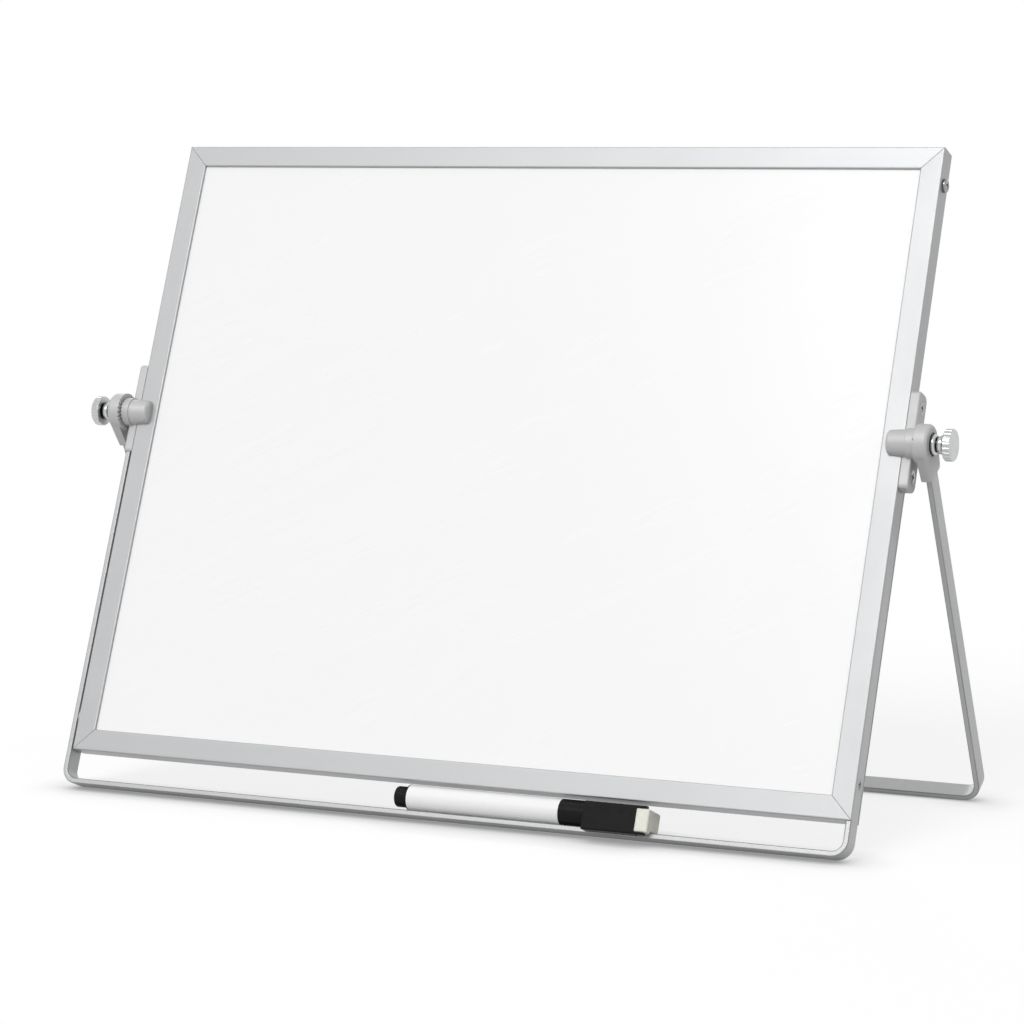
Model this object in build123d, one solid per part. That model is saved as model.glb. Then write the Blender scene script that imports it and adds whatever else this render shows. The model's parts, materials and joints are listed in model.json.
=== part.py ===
"""Desk easel: a double-sided magnetic whiteboard on two bent-bar feet, with a clamped pivot on each side.

The board and its front foot are modelled upright in the board's own frame: X to the right, Y into the
board from its front face, Z up along it from its lower edge. The rear leg is modelled hanging straight
down from the pivot, and opens from the board by one angle. Both are then leaned so that the two feet stand
on Z = 0. Sizes are millimetres and angles degrees.
"""
import os
from math import atan2, cos, degrees, pi, radians, sin

from build123d import *

os.makedirs("parts", exist_ok=True)

# --- driving dimensions -----------------------------------------------------------------------------
# board and its frame
board_width = 355.6
board_height = 279.4
frame_depth = 10.0
frame_face = 9.4
frame_side_wall = 1.2
frame_face_wall = 1.1
frame_web = 1.0
frame_chamber = 3.0
frame_edge_radius = 0.5
mitre_gap = 0.14
sheet_thickness = 0.35
panel_slack = 0.05
panel_edge_gap = 0.3

# corner keys inside the frame
key_leg = 24.0
key_slack = 0.1
corner_screw_inset = 15.0

# bent flat bar of both feet
bar_width = 8.5
bar_thickness = 2.4
bar_edge_radius = 0.6
foot_drop = 12.3
foot_side_gap = 0.9
foot_groove_slack = 0.1
foot_bend_radius = 6.9
leg_reach = 175.4
leg_opening = 49.3
leg_bend_radius = 8.4

# pivot brackets
pivot_height = 153.0
bracket_length = 41.0
bracket_width = 9.8
bracket_thickness = 4.0
bracket_rise = 1.9
bracket_back_radius = 3.4
bracket_front_radius = 2.0
bracket_edge_radius = 0.8
bracket_screw_spacing = 28.6
pocket_slack = 0.1
boss_diameter = 12.4
boss_height = 1.7
boss_length = 3.6
nose_root_diameter = 11.5
nose_tip_diameter = 10.3
nose_length = 6.4
nose_tip_radius = 1.4
insert_diameter = 7.0
insert_length = 4.6
insert_sink = 0.6

# rear leg hubs
hub_diameter = 16.2
hub_thickness = 6.2
hub_edge_radius = 1.9
hub_recess_diameter = 9.6
hub_recess_depth = 0.9
socket_wall = 1.4
socket_top = 6.5
ferrule_end = 14.3
ferrule_inset = 1.2
ferrule_shoulder_drop = 1.4
ferrule_shoulder_inset = 0.3
ferrule_slope = 3.2
ferrule_slope_depth = 0.7
socket_slack = 0.05
serration_count = 24
serration_depth = 0.5
serration_inner_diameter = 9.6
hub_face_gap = 0.15

# clamp screws, washers and knobs
screw_diameter = 4.0
screw_tip_gap = 0.8
screw_grip = 2.2
stud_chamfer = 0.5
washer_diameter = 8.4
washer_thickness = 2.9
washer_edge_radius = 1.2
washer_gap = 0.05
neck_diameter = 7.6
neck_length = 3.4
neck_edge_radius = 1.4
knob_diameter = 13.1
knob_length = 3.4
knob_chamfer = 0.4
knurl_count = 22
knurl_radius = 0.8
knurl_depth = 0.28
running_clearance = 0.08
thread_clearance = 0.05
press_clearance = 0.02

# small screws and spacers
small_screw_diameter = 3.0
small_screw_head = 5.8
small_screw_head_height = 1.5
small_screw_head_radius = 0.75
small_screw_tip = 0.3
foot_screw_head = 4.4
cross_width = 0.8
cross_length = 3.2
cross_depth = 1.0
cross_point = 0.5
hole_clearance = 0.2
spacer_diameter = 7.6
nut_plate_length = 40.0

# marker
marker_diameter = 10.8
marker_left = -13.7
marker_collar_left = 54.7
marker_depth = 4.0
marker_wall = 0.9
marker_rest_gap = 0.3
plug_diameter = 8.7
plug_length = 6.3
plug_insert = 8.0
plug_flange = 0.5
plug_edge_radius = 0.8
neck_bore_clearance = 0.08
collar_gap = 0.1
holder_tip_gap = 0.5
marker_neck_diameter = 8.2
marker_neck_length = 11.0
holder_length = 8.0
holder_tip_diameter = 5.6
nib_diameter = 3.6
nib_length = 5.0
nib_root = 4.0
nib_end_radius = 1.6
reservoir_gap = 1.5
collar_length = 12.9
cap_block_length = 23.1
cap_block_front = -4.4
cap_block_top = -2.3
cap_block_bottom = -14.1
cap_edge_radius = 0.7
cap_lip_gap = 0.3
jaw_length = 4.2
jaw_wall = 0.9
jaw_depth = 2.6
eraser_length = 5.4
eraser_root = 2.5
eraser_front = -4.0
eraser_depth = 13.0
eraser_edge_radius = 1.0
magnet_length = 14.0
magnet_thickness = 1.6
magnet_height = 2.6
magnet_floor = 0.4

# --- sizes that follow ------------------------------------------------------------------------------
half_width = board_width / 2
slot_depth = frame_depth - 2 * frame_face_wall
screw_hole = small_screw_diameter + 2 * hole_clearance
tapped_hole = small_screw_diameter + 2 * thread_clearance
stud_hole = screw_diameter + 2 * running_clearance
channel_start = frame_side_wall + frame_chamber + frame_web
panel_half_width = half_width - channel_start - panel_edge_gap
panel_height = board_height - 2 * (channel_start + panel_edge_gap)
panel_thickness = slot_depth - 2 * panel_slack
core_thickness = panel_thickness - 2 * sheet_thickness
mid_depth = frame_depth / 2

key_thickness = frame_chamber - 2 * key_slack
key_width = slot_depth - 2 * key_slack
screw_reach = frame_side_wall + frame_chamber - small_screw_tip

foot_left_inner = half_width + foot_side_gap
foot_left_outer = foot_left_inner + bar_thickness
foot_right_outer = half_width - foot_groove_slack
foot_right_inner = foot_right_outer - bar_thickness
foot_groove_floor = foot_right_inner - foot_groove_slack
foot_half_width = (foot_left_outer + foot_right_outer) / 2
foot_middle = (foot_right_outer - foot_left_outer) / 2
foot_bottom = -foot_drop - bar_thickness
foot_front = mid_depth - bar_width / 2
foot_back = mid_depth + bar_width / 2

bracket_outer = half_width + bracket_thickness
bracket_middle = pivot_height + bracket_rise
bracket_screw_low = bracket_middle - bracket_screw_spacing / 2
bracket_screw_high = bracket_middle + bracket_screw_spacing / 2
boss_outer = bracket_outer + boss_height
boss_inner = boss_outer - boss_length
insert_outer = boss_outer - insert_sink
insert_inner = insert_outer - insert_length
arm_top = pivot_height - boss_diameter / 2 - 2 * pocket_slack

hub_inner = boss_outer + hub_face_gap
hub_outer = hub_inner + hub_thickness
ferrule_inner = hub_inner + ferrule_inset
socket_middle = (ferrule_inner + hub_outer) / 2
leg_outer = socket_middle + bar_thickness / 2
leg_socket_width = bar_width + 2 * socket_slack
leg_socket_thickness = bar_thickness + 2 * socket_slack

washer_inner = hub_outer - hub_recess_depth + washer_gap
washer_outer = washer_inner + washer_thickness
knob_inner = washer_outer + washer_gap + neck_length
knob_outer = knob_inner + knob_length
screw_tip = insert_inner + screw_tip_gap

marker_radius = marker_diameter / 2
marker_rest = marker_rest_gap - foot_drop
marker_height = marker_rest + marker_radius
marker_bore = marker_diameter - 2 * marker_wall
neck_end = marker_collar_left + marker_neck_length
holder_end = neck_end + holder_length
nib_end = holder_end + nib_length
cap_block_left = marker_collar_left + collar_length - cap_edge_radius
cap_block_right = cap_block_left + cap_block_length
cap_block_back = marker_depth + marker_radius
eraser_back = eraser_front + eraser_depth
eraser_top = cap_block_top - jaw_wall
eraser_bottom = cap_block_bottom + jaw_wall
cap_lip_back = foot_front - cap_lip_gap
cap_bore = marker_neck_diameter + 2 * neck_bore_clearance

# stance: the front foot's back lower edge and the rear leg's front lower edge touch the surface
opening_angle = radians(leg_opening)
leg_corner_depth = leg_reach * sin(opening_angle) - bar_width / 2 * cos(opening_angle)
leg_corner_height = pivot_height - leg_reach * cos(opening_angle) - bar_width / 2 * sin(opening_angle)
lean_angle = atan2(leg_corner_height - foot_bottom, leg_corner_depth - foot_back)
board_tilt = degrees(lean_angle)
leg_angle = leg_opening - board_tilt
pivot_above_floor = (pivot_height - foot_bottom) * cos(lean_angle) + foot_back * sin(lean_angle)

CORNER = (Align.MIN, Align.MIN)
ALONG = (Align.CENTER, Align.CENTER, Align.MIN)
BELOW = (Align.CENTER, Align.CENTER, Align.MAX)
SIDES = {"left": -1, "right": 1}
OVERCUT = 1.0
SAME = 0.01


# --- helpers ----------------------------------------------------------------------------------------
def span_box(x, y, z):
    """A box between two corners, each axis given as (low, high)."""
    size = [high - low for low, high in (x, y, z)]
    middle = [(high + low) / 2 for low, high in (x, y, z)]
    return Pos(*middle) * Box(*size)


def rod(diameter, start, end, y=0.0, z=0.0):
    """A round bar along X between two stations."""
    return Pos(start, y, z) * Rot(Y=90) * Cylinder(diameter / 2, end - start, align=ALONG)


def bore(diameter, start, end, y=0.0, z=0.0):
    """A cutter along X that runs a little past two stations."""
    return rod(diameter, start - OVERCUT, end + OVERCUT, y, z)


def rim(shape, x, diameter):
    """The circular edges of a turned shape at one station along X, with about that diameter."""
    found = shape.edges().filter_by(GeomType.CIRCLE)
    return [e for e in found if abs(e.center().X - x) < SAME and abs(e.radius - diameter / 2) < SAME]


def on_side(shape, side):
    """The right-hand shape as it is, or its mirror image for the left."""
    return shape if SIDES[side] > 0 else mirror(shape, about=Plane.YZ)


def both_sides(shapes):
    """Every right-hand shape with its mirror image."""
    return [on_side(shape, side) for side in SIDES for shape in shapes]


def ring_of(shape, count, y=0.0, z=0.0):
    """Copies of a shape, drawn about the X axis, spread evenly round an axis at (y, z)."""
    return [Pos(0, y, z) * Rot(X=360 * i / count) * shape for i in range(count)]


# --- frame and panel --------------------------------------------------------------------------------
def frame_profile():
    """The extrusion's section: a closed chamber outside, an open channel for the panel inside."""
    section = Rectangle(frame_depth, frame_face, align=CORNER)
    section = fillet(section.vertices(), frame_edge_radius)
    chamber = Rectangle(slot_depth, frame_chamber, align=CORNER)
    channel = Rectangle(slot_depth, frame_face, align=CORNER)
    section -= Pos(frame_face_wall, frame_side_wall) * chamber
    section -= Pos(frame_face_wall, channel_start) * channel
    return section


def rail(length):
    """One mitred length along X, its outer side on Z = 0 and facing down."""
    stock = extrude(Plane.YZ * frame_profile(), amount=length / 2, both=True)
    outer = length / 2 - mitre_gap / 2
    inner = outer - frame_face
    mitre = Polyline((-outer, 0), (outer, 0), (inner, frame_face), (-inner, frame_face), close=True)
    return stock & extrude(Plane.XZ * make_face(mitre), amount=-frame_depth)


def screw_holes(heights, diameter, start, end):
    """Cutters along X at the frame's middle depth."""
    return [bore(diameter, start, end, mid_depth, z) for z in heights]


def foot_groove():
    """Cutter for the groove in the right side, where the foot's arm is let in flush up to the bracket."""
    depth = (foot_front - foot_groove_slack, foot_back + foot_groove_slack)
    return span_box((foot_groove_floor, half_width + OVERCUT), depth, (-OVERCUT, arm_top + foot_groove_slack))


def stile(side):
    """A side rail with its screw holes for the bracket, the foot and the corner keys."""
    upright = Pos(half_width, 0, board_height / 2) * Rot(Y=-90) * rail(board_height)
    heights = (corner_screw_inset, bracket_screw_low, bracket_screw_high, board_height - corner_screw_inset)
    upright -= screw_holes(heights, screw_hole, half_width - frame_side_wall, half_width)
    return on_side(upright, side) - foot_groove()


def corner_key(right, top):
    """An L-shaped key that joins two rails, with a threaded hole in its upright leg."""
    inset = frame_side_wall + key_slack
    leg, wall = key_leg, key_thickness
    outline = Polyline((0, 0), (leg, 0), (leg, wall), (wall, wall), (wall, leg), (0, leg), close=True)
    key = extrude(Plane.XZ * make_face(outline), amount=-key_width)
    key = Pos(inset - half_width, frame_face_wall + key_slack, inset) * key
    key -= rod(tapped_hole, -half_width, -half_width + channel_start, mid_depth, corner_screw_inset)
    if right:
        key = mirror(key, about=Plane.YZ)
    if top:
        key = mirror(key, about=Plane.XY.offset(board_height / 2))
    return key - foot_groove()


def panel_layer(front, back):
    """A full-size sheet of the panel between two depths."""
    low = channel_start + panel_edge_gap
    return span_box((-panel_half_width, panel_half_width), (front, back), (low, low + panel_height))


# --- small fasteners --------------------------------------------------------------------------------
def cross_recess():
    """Cutter for a cross drive, opening at Z = 0."""
    slot = Box(cross_length, cross_width, 2 * cross_depth)
    cone = Cone(cross_point / 2, cross_length / 2, cross_depth, align=BELOW)
    return (slot + Rot(Z=90) * slot) & cone


def sunk_height(head):
    """Height of a countersunk head of one diameter: all heads have the same slope."""
    return small_screw_head_height * (head - small_screw_diameter) / (small_screw_head - small_screw_diameter)


def small_screw(length, countersunk, head_diameter):
    """A screw along -Z: its head's underside, or a countersunk head's top, lies on Z = 0."""
    shank = Cylinder(small_screw_diameter / 2, length, align=BELOW)
    if countersunk:
        height = sunk_height(head_diameter)
        cone = Cone(small_screw_diameter / 2, head_diameter / 2, height, align=BELOW)
        return shank + cone - cross_recess()
    head = Cylinder(head_diameter / 2, small_screw_head_height, align=ALONG)
    top = head.edges().filter_by(GeomType.CIRCLE).sort_by(Axis.Z)[-1]
    head = fillet(top, small_screw_head_radius)
    return shank + head - Pos(0, 0, small_screw_head_height) * cross_recess()


def driven(screw, surface, z):
    """A screw driven inwards on the right-hand side, from one surface at one height."""
    return Pos(surface, mid_depth, z) * Rot(Y=90) * screw


def screw_length(surface):
    """From one surface to the bottom of the frame's chamber."""
    return surface - half_width + screw_reach


def corner_screws():
    """The pan-head screws that hold the upper corner keys."""
    screw = small_screw(screw_length(half_width), False, small_screw_head)
    return both_sides([driven(screw, half_width, board_height - corner_screw_inset)])


def foot_screws():
    """The small countersunk screws through the foot's two arms into the lower corner keys."""
    surfaces = {"left": foot_left_outer, "right": foot_right_outer}
    screws = {side: small_screw(screw_length(x), True, foot_screw_head) for side, x in surfaces.items()}
    return [on_side(driven(screws[side], x, corner_screw_inset), side) for side, x in surfaces.items()]


def bracket_screws():
    """Two countersunk screws through each bracket into the nut plate behind it."""
    screw = small_screw(screw_length(bracket_outer), True, small_screw_head)
    return both_sides([driven(screw, bracket_outer, z) for z in (bracket_screw_low, bracket_screw_high)])


def countersink(surface, z, end=half_width, head=small_screw_head):
    """Cutter for a countersunk screw: its cone, and its shank hole down to an end."""
    cone = Cone(screw_hole / 2, (head + hole_clearance) / 2, sunk_height(head), align=BELOW)
    return Pos(surface, mid_depth, z) * Rot(Y=90) * cone + bore(screw_hole, end, surface, mid_depth, z)


def spacer(z):
    """A thin washer that holds the foot's left arm off the frame."""
    washer = rod(spacer_diameter, half_width, foot_left_inner, mid_depth, z)
    return on_side(washer - bore(screw_hole, half_width, foot_left_inner, mid_depth, z), "left")


def nut_plate(side):
    """The tapped strip in the stile's chamber that the bracket screws bite into."""
    inner = half_width - frame_side_wall - key_slack
    low = bracket_middle - nut_plate_length / 2
    depth = (frame_face_wall + key_slack, frame_depth - frame_face_wall - key_slack)
    strip = span_box((inner - key_thickness, inner), depth, (low, low + nut_plate_length))
    strip -= screw_holes((bracket_screw_low, bracket_screw_high), tapped_hole, inner - key_thickness, inner)
    return on_side(strip, side) - foot_groove()


# --- bent-bar feet ----------------------------------------------------------------------------------
def bent_bar(outer, bottom, top, bend_radius, front):
    """A U of flat bar, open upwards: its flat sides face outwards, its edges face front and back."""
    def outline(half, low, high, radius):
        shape = Pos(0, (low + high) / 2) * Rectangle(2 * half, high - low)
        return fillet(shape.vertices().group_by(Axis.Y)[0], radius)

    inner = outer - bar_thickness
    inner_radius = bend_radius - bar_thickness
    section = outline(outer, bottom, top, bend_radius)
    section -= outline(inner, bottom + bar_thickness, top + bar_thickness, inner_radius)
    bar = extrude(Plane.XZ.offset(-front) * section, amount=-bar_width)
    below_top = [e for e in bar.edges() if abs(e.center().Z - top) > SAME]
    return fillet([e for e in below_top if abs(e.tangent_at(0).Y) < SAME], bar_edge_radius)


def front_foot():
    """The foot in the board's plane: its left arm beside the stile, its right arm let into the stile."""
    bar = bent_bar(foot_half_width, foot_bottom, arm_top, foot_bend_radius, foot_front)
    bar = Pos(foot_middle) * bar
    bar -= on_side(countersink(foot_left_outer, corner_screw_inset, half_width, foot_screw_head), "left")
    bar -= countersink(foot_right_outer, corner_screw_inset, foot_right_inner, foot_screw_head)
    return bar - both_sides([countersink(bracket_outer, bracket_screw_low, foot_right_inner)])


# --- pivot ------------------------------------------------------------------------------------------
def serrations(x, outer_diameter):
    """V-grooves on a face across X, running out to the rim."""
    inner = serration_inner_diameter / 2
    outer = outer_diameter / 2 + OVERCUT
    side = pi * outer_diameter / serration_count / 4
    groove = Polyline((0, -side), (serration_depth, 0), (0, side), (-serration_depth, 0), close=True)
    cutter = extrude(make_face(groove), amount=outer - inner)
    return ring_of(Pos(x, 0, inner) * cutter, serration_count)


def bracket(side):
    """The casting on the stile: screw plate, serrated boss and the nose that laps the frame's front."""
    face = Rectangle(bracket_width, bracket_length)
    face = fillet(face.vertices().group_by(Axis.X)[-1], bracket_back_radius)
    face = fillet(face.vertices().group_by(Axis.X)[0], bracket_front_radius)
    plate = extrude(Plane.YZ * face, amount=bracket_thickness)
    outline = plate.edges().group_by(Axis.X)[-1]
    plate = Pos(half_width, mid_depth, bracket_middle) * fillet(outline, bracket_edge_radius)
    if side == "left":
        pocket_sides = (foot_front - pocket_slack, foot_back + pocket_slack)
        pocket_ends = (bracket_middle - bracket_length, arm_top + pocket_slack)
        plate -= span_box((half_width - OVERCUT, foot_left_outer), pocket_sides, pocket_ends)

    nose_end = half_width - nose_length
    nose = Cone(nose_root_diameter / 2, nose_tip_diameter / 2, boss_inner - nose_end, align=ALONG)
    nose = Pos(boss_inner) * Rot(Y=-90) * nose
    nose = fillet(rim(nose, nose_end, nose_tip_diameter), nose_tip_radius)
    nose -= span_box((0, half_width), (0, boss_diameter), (-boss_diameter, boss_diameter))
    boss = rod(boss_diameter, boss_inner, boss_outer)
    body = plate + Pos(0, 0, pivot_height) * (boss + nose)
    body -= rod(insert_diameter, insert_inner, boss_outer + OVERCUT, 0, pivot_height)
    body -= [Pos(0, 0, pivot_height) * groove for groove in serrations(boss_outer, boss_diameter)]
    body -= [countersink(bracket_outer, z) for z in (bracket_screw_low, bracket_screw_high)]
    return on_side(body, side)


def threaded_insert(side):
    """The metal bush in the boss that takes the clamp screw."""
    bush = rod(insert_diameter, insert_inner, insert_outer, 0, pivot_height)
    bush -= bore(screw_diameter + 2 * thread_clearance, insert_inner, insert_outer, 0, pivot_height)
    return on_side(bush, side)


def hub(side):
    """The end fitting of the rear leg, drawn with the leg hanging down from the pivot at the origin."""
    end_half = leg_socket_width / 2 + socket_wall
    shoulder = hub_diameter / 2 - ferrule_shoulder_inset
    web = Polyline((-shoulder, -ferrule_shoulder_drop), (shoulder, -ferrule_shoulder_drop),
                   (end_half, -ferrule_end), (-end_half, -ferrule_end), close=True)
    section = Circle(hub_diameter / 2) + make_face(web)
    body = Pos(ferrule_inner) * extrude(Plane.YZ * section, amount=hub_outer - ferrule_inner)
    slope = Polyline((hub_outer, -ferrule_end), (hub_outer - ferrule_slope_depth, -ferrule_end),
                     (hub_outer, -ferrule_end + ferrule_slope), close=True)
    outline = [e for e in body.edges() if abs(e.center().X - hub_outer) < SAME]
    body = fillet([e for e in outline if e.center().Z > SAME - ferrule_end], hub_edge_radius)
    body -= extrude(Plane.XZ * make_face(slope), amount=hub_diameter, both=True)
    body += rod(hub_diameter, hub_inner, ferrule_inner)
    socket = Box(leg_socket_thickness, leg_socket_width, 2 * ferrule_end, align=BELOW)
    body -= Pos(socket_middle, 0, socket_slack - socket_top) * socket
    body -= bore(stud_hole, hub_inner, hub_outer)
    body -= rod(hub_recess_diameter, hub_outer - hub_recess_depth, hub_outer + OVERCUT)
    body -= serrations(hub_inner, hub_diameter)
    return on_side(body, side)


def clamp_washer(side):
    """The domed washer between hub and knob."""
    washer = rod(washer_diameter, washer_inner, washer_outer, 0, pivot_height)
    rims = rim(washer, washer_inner, washer_diameter) + rim(washer, washer_outer, washer_diameter)
    washer = fillet(rims, washer_edge_radius)
    washer -= bore(stud_hole, washer_inner, washer_outer, 0, pivot_height)
    return on_side(washer, side)


def clamp_screw(side):
    """The stud that the knob turns, from inside the insert to inside the knob."""
    stud = rod(screw_diameter, screw_tip, knob_inner + screw_grip, 0, pivot_height)
    stud = chamfer(rim(stud, screw_tip, screw_diameter), stud_chamfer)
    return on_side(stud, side)


def knob(side):
    """The fluted head with its short rounded neck."""
    head = rod(knob_diameter, knob_inner, knob_outer)
    rims = rim(head, knob_inner, knob_diameter) + rim(head, knob_outer, knob_diameter)
    head = chamfer(rims, knob_chamfer)
    offset = knob_diameter / 2 + knurl_radius - knurl_depth
    head -= ring_of(bore(2 * knurl_radius, knob_inner, knob_outer, 0, offset), knurl_count)
    neck = rod(neck_diameter, knob_inner - neck_length, knob_inner)
    neck_rims = rim(neck, knob_inner - neck_length, neck_diameter) + rim(neck, knob_inner, neck_diameter)
    body = head + fillet(neck_rims, neck_edge_radius)
    body -= rod(screw_diameter + 2 * press_clearance, screw_tip, knob_inner + screw_grip)
    return on_side(Pos(0, 0, pivot_height) * body, side)


# --- marker -----------------------------------------------------------------------------------------
def marker_rod(diameter, start, end):
    """A round bar on the marker's axis."""
    return rod(diameter, start, end, marker_depth, marker_height)


def marker_barrel():
    """The tube, with a reduced neck that the cap slides over."""
    body = marker_rod(marker_diameter, marker_left, marker_collar_left)
    body += marker_rod(marker_neck_diameter, marker_collar_left, neck_end)
    neck_bore = marker_neck_diameter - 2 * marker_wall
    body -= marker_rod(marker_bore, marker_left - OVERCUT, marker_collar_left - marker_wall)
    body -= marker_rod(neck_bore, marker_left - OVERCUT, neck_end + OVERCUT)
    return body


def marker_plug():
    """The stopper in the barrel's left end."""
    plug = marker_rod(plug_diameter, marker_left - plug_length, marker_left)
    plug = fillet(rim(plug, marker_left - plug_length, plug_diameter), plug_edge_radius)
    plug += marker_rod(marker_diameter, marker_left - plug_flange, marker_left)
    return plug + marker_rod(marker_bore - 2 * press_clearance, marker_left, marker_left + plug_insert)


def ink_reservoir():
    """The ink-soaked felt rod inside the barrel."""
    left = marker_left + plug_insert + reservoir_gap
    right = marker_collar_left - marker_wall - reservoir_gap
    return marker_rod(marker_bore - 2 * press_clearance, left, right)


def nib_holder():
    """The tapered nose pressed into the barrel's neck."""
    neck_bore = marker_neck_diameter - 2 * marker_wall
    cone = Cone(marker_neck_diameter / 2, holder_tip_diameter / 2, holder_length, align=ALONG)
    body = Pos(neck_end, marker_depth, marker_height) * Rot(Y=90) * cone
    body += marker_rod(neck_bore - 2 * press_clearance, marker_collar_left, neck_end)
    seat = marker_rod(nib_diameter + 2 * press_clearance, holder_end - nib_root, holder_end + OVERCUT)
    return body - seat


def nib():
    """The bullet-shaped felt tip."""
    tip = marker_rod(nib_diameter, holder_end - nib_root, nib_end)
    return fillet(rim(tip, nib_end, nib_diameter), nib_end_radius)


def marker_cap():
    """Round collar and square block: its front lip laps the foot bar, two short lips hold the eraser."""
    front, back = cap_block_front, cap_block_back
    jaw_end = cap_block_right + jaw_length
    block = span_box((cap_block_left, cap_block_right), (front, back), (cap_block_bottom, cap_block_top))
    long_edges = block.edges().filter_by(Axis.X) + block.faces().sort_by(Axis.X)[0].edges()
    block = fillet(long_edges, cap_edge_radius)
    jaw = span_box((cap_block_right - OVERCUT, jaw_end), (front, front + jaw_depth),
                   (cap_block_bottom, cap_block_top))
    jaw = fillet(jaw.edges().filter_by(Axis.X), cap_edge_radius)
    jaw -= span_box((cap_block_right, jaw_end + OVERCUT), (front - OVERCUT, eraser_back),
                    (eraser_bottom, eraser_top))
    collar = marker_rod(marker_diameter, marker_collar_left + collar_gap, cap_block_left + OVERCUT)
    body = block + jaw + collar
    body -= span_box((cap_block_left - OVERCUT, jaw_end + OVERCUT), (cap_lip_back, back + OVERCUT),
                     (cap_block_bottom - OVERCUT, marker_rest))
    body -= marker_rod(cap_bore, marker_collar_left - OVERCUT, holder_end + holder_tip_gap)
    body -= marker_rod(holder_tip_diameter, holder_end, nib_end + OVERCUT)
    body -= eraser_block(0.0)
    return body - magnet()


def eraser_block(edge_radius):
    """The felt block: a pad between the cap's lips, its apron before the foot, a tongue in the cap's end."""
    end = cap_block_right + eraser_length
    pad = span_box((cap_block_right, end), (eraser_front, eraser_back), (marker_rest, eraser_top))
    if edge_radius:
        pad = fillet(pad.faces().sort_by(Axis.X)[-1].edges(), edge_radius)
    pad += span_box((cap_block_right, end - edge_radius), (eraser_front, cap_lip_back),
                    (eraser_bottom, marker_rest + jaw_wall))
    tongue = span_box((cap_block_right - eraser_root, cap_block_right + jaw_wall),
                      (eraser_front + jaw_wall, eraser_back - jaw_wall),
                      (marker_rest + jaw_wall, eraser_top - jaw_wall))
    return pad + tongue


def magnet():
    """The bar magnet in the cap's lip, facing the foot's front edge."""
    middle = (cap_block_left + cap_block_right) / 2
    low = cap_block_bottom + magnet_floor
    return span_box((middle - magnet_length / 2, middle + magnet_length / 2),
                    (cap_lip_back - magnet_thickness, cap_lip_back), (low, low + magnet_height))


# --- the whole easel --------------------------------------------------------------------------------
def board_pieces():
    """Everything drawn in the board's frame, by node name."""
    front_sheet_back = frame_face_wall + panel_slack + sheet_thickness
    back_sheet_front = front_sheet_back + core_thickness
    pieces = {
        "frame_bottom_rail": rail(board_width) - foot_groove(),
        "frame_top_rail": Pos(0, 0, board_height) * Rot(Y=180) * rail(board_width),
        "writing_sheet_front": panel_layer(frame_face_wall + panel_slack, front_sheet_back),
        "panel_core": panel_layer(front_sheet_back, back_sheet_front),
        "writing_sheet_back": panel_layer(back_sheet_front, back_sheet_front + sheet_thickness),
        "front_foot_bar": front_foot(),
        "foot_spacers": [spacer(corner_screw_inset), spacer(bracket_screw_low)],
        "corner_screws": corner_screws(),
        "foot_screws": foot_screws(),
        "bracket_screws": bracket_screws(),
        "marker_barrel": marker_barrel(),
        "marker_plug": marker_plug(),
        "marker_reservoir": ink_reservoir(),
        "marker_nib_holder": nib_holder(),
        "marker_nib": nib(),
        "marker_cap": marker_cap(),
        "cap_eraser": eraser_block(eraser_edge_radius),
        "cap_magnet": magnet(),
    }
    for side, sign in SIDES.items():
        pieces[f"frame_{side}_stile"] = stile(side)
        pieces[f"corner_key_top_{side}"] = corner_key(sign > 0, True)
        pieces[f"corner_key_bottom_{side}"] = corner_key(sign > 0, False)
        pieces[f"pivot_bracket_{side}"] = bracket(side)
        pieces[f"nut_plate_{side}"] = nut_plate(side)
        pieces[f"threaded_insert_{side}"] = threaded_insert(side)
        pieces[f"clamp_washer_{side}"] = clamp_washer(side)
        pieces[f"clamp_screw_{side}"] = clamp_screw(side)
        pieces[f"knob_{side}"] = knob(side)
    return pieces


def leg_pieces():
    """Everything drawn in the rear leg's frame, by node name."""
    bar = bent_bar(leg_outer, -leg_reach, -socket_top, leg_bend_radius, -bar_width / 2)
    return {"rear_leg_bar": bar, "leg_hub_left": hub("left"), "leg_hub_right": hub("right")}


def placed(shape, place):
    """One shape, or a list of shapes as one group, moved to its place."""
    if isinstance(shape, list):
        return Compound([place * s for s in shape])
    return place * shape


def standing():
    """All nodes leaned and set on the surface, centred on the origin."""
    lean = Rot(X=-board_tilt)
    pivot = (lean * Pos(0, 0, pivot_height)).position
    to_floor = Pos(0, -pivot.Y, pivot_above_floor - pivot.Z)
    nodes = {name: placed(shape, to_floor * lean) for name, shape in board_pieces().items()}
    hang = Pos(0, 0, pivot_above_floor) * Rot(X=leg_angle)
    nodes |= {name: placed(shape, hang) for name, shape in leg_pieces().items()}
    front = nodes["marker_cap"].bounding_box().min.Y
    back = nodes["rear_leg_bar"].bounding_box().max.Y
    centre = Pos(0, -(front + back) / 2, 0)
    print(f"pivot axis at Y {-(front + back) / 2:.3f}, Z {pivot_above_floor:.3f}; tilt {board_tilt:.4f} deg")
    return {name: centre * shape for name, shape in nodes.items()}


for name, shape in standing().items():
    export_step(shape, f"parts/{name}.step")
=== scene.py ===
"""Desk whiteboard easel: the finishes of its pieces, its felt eraser and a plain studio stage."""

import json
import math

import bpy
import numpy as np
from bpy.props import FloatProperty, FloatVectorProperty, IntProperty, PointerProperty
from mathutils import Matrix, Vector


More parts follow.
